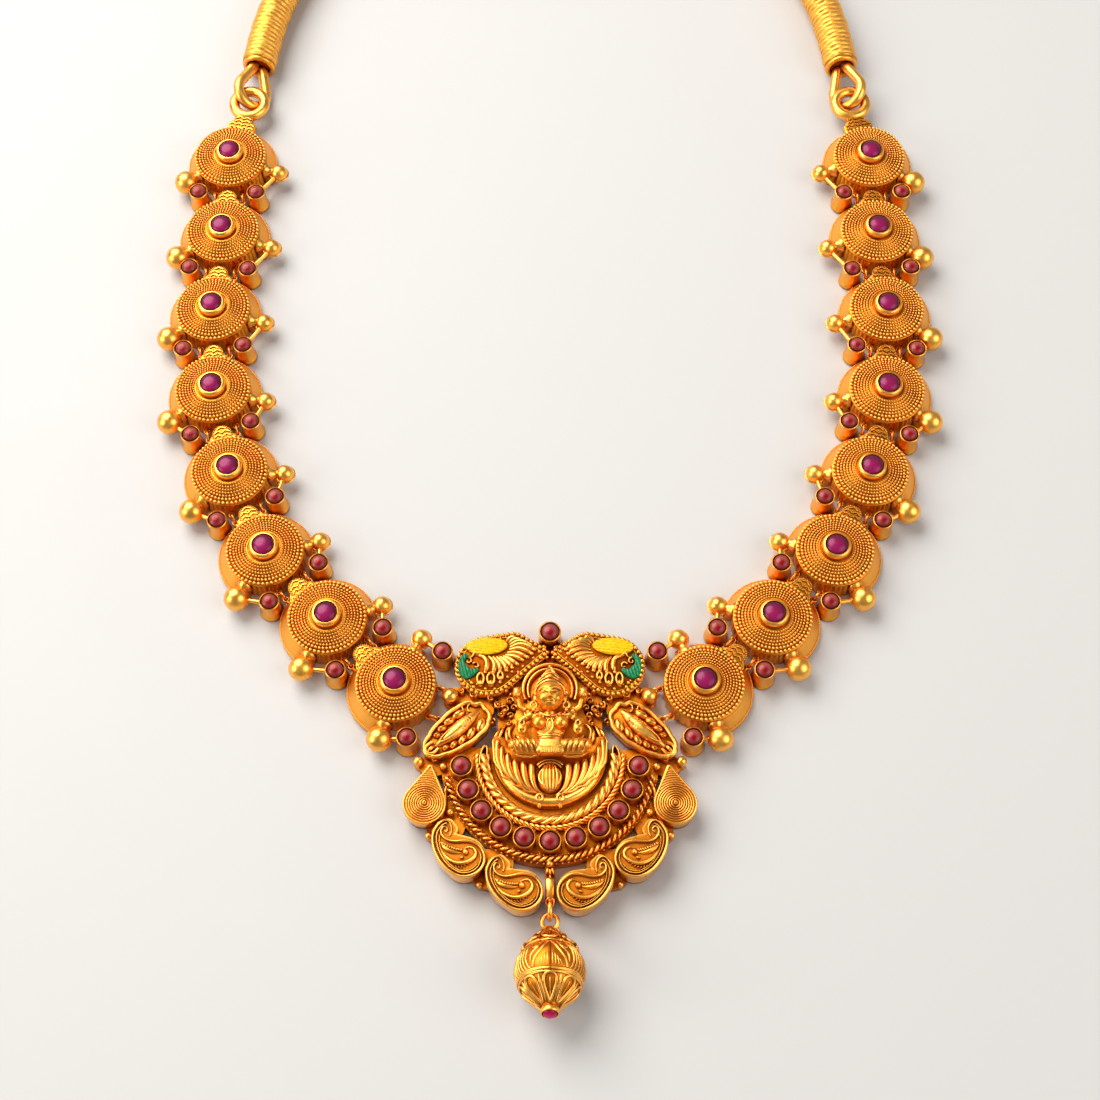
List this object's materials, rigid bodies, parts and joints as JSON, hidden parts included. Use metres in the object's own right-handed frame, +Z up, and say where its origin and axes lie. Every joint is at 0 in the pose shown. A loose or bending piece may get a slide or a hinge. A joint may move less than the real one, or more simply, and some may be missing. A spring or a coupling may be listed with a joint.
{
  "type": "temple necklace",
  "caption": "Gold temple necklace with granulated ruby domes, a seated deity pendant with drop bead, and a wrapped cord with a clasp behind.",
  "frame": {"origin": "on the surface that the necklace lies on, under the middle of the metalwork's box", "axes": "+Z up off the surface, +Y from the pendant towards the back of the neck, +X to the right as seen from the pendant's side"},
  "size_m": [0.1354, 0.2332, 0.0107],
  "materials": {
    "gold": "polished antique gold, darker in the recesses",
    "matte_gold": "sandblasted flange and fine granulation, polished balls and rims",
    "ruby": "polished cabochon",
    "green_enamel": "glossy enamel",
    "yellow_enamel": "glossy engraved enamel",
    "gold_thread": "tightly wound metallic thread"
  },
  "bodies": {
    "root": {"dome_left_1": "matte_gold", "dome_left_2": "matte_gold", "dome_left_3": "matte_gold", "dome_left_4": "matte_gold", "dome_left_5": "matte_gold", "dome_left_6": "matte_gold", "dome_left_7": "matte_gold", "dome_left_8": "matte_gold", "dome_right_1": "matte_gold", "dome_right_2": "matte_gold", "dome_right_3": "matte_gold", "dome_right_4": "matte_gold", "dome_right_5": "matte_gold", "dome_right_6": "matte_gold", "dome_right_7": "matte_gold", "dome_right_8": "matte_gold", "ruby_left_1": "ruby", "ruby_left_2": "ruby", "ruby_left_3": "ruby", "ruby_left_4": "ruby", "ruby_left_5": "ruby", "ruby_left_6": "ruby", "ruby_left_7": "ruby", "ruby_left_8": "ruby", "ruby_right_1": "ruby", "ruby_right_2": "ruby", "ruby_right_3": "ruby", "ruby_right_4": "ruby", "ruby_right_5": "ruby", "ruby_right_6": "ruby", "ruby_right_7": "ruby", "ruby_right_8": "ruby", "collet_rubies": "ruby", "link_rings": "gold", "cord_loop_left": "gold", "cord_loop_right": "gold", "cord_left": "gold_thread", "cord_right": "gold_thread", "clasp": "gold", "pendant_plate": "gold", "deity": "gold", "lotus_seat": "gold", "inner_rope": "gold", "outer_rope": "gold", "shell_left": "gold", "shell_right": "gold", "green_enamel": "green_enamel", "yellow_enamel": "yellow_enamel", "leaf_plaque_left": "gold", "leaf_plaque_right": "gold", "pear_left": "gold", "pear_right": "gold", "paisley_left_outer": "gold", "paisley_left_inner": "gold", "paisley_right_outer": "gold", "paisley_right_inner": "gold", "drop_link": "gold", "drop_bead": "gold", "drop_ruby": "ruby"}
  },
  "joints": []
}
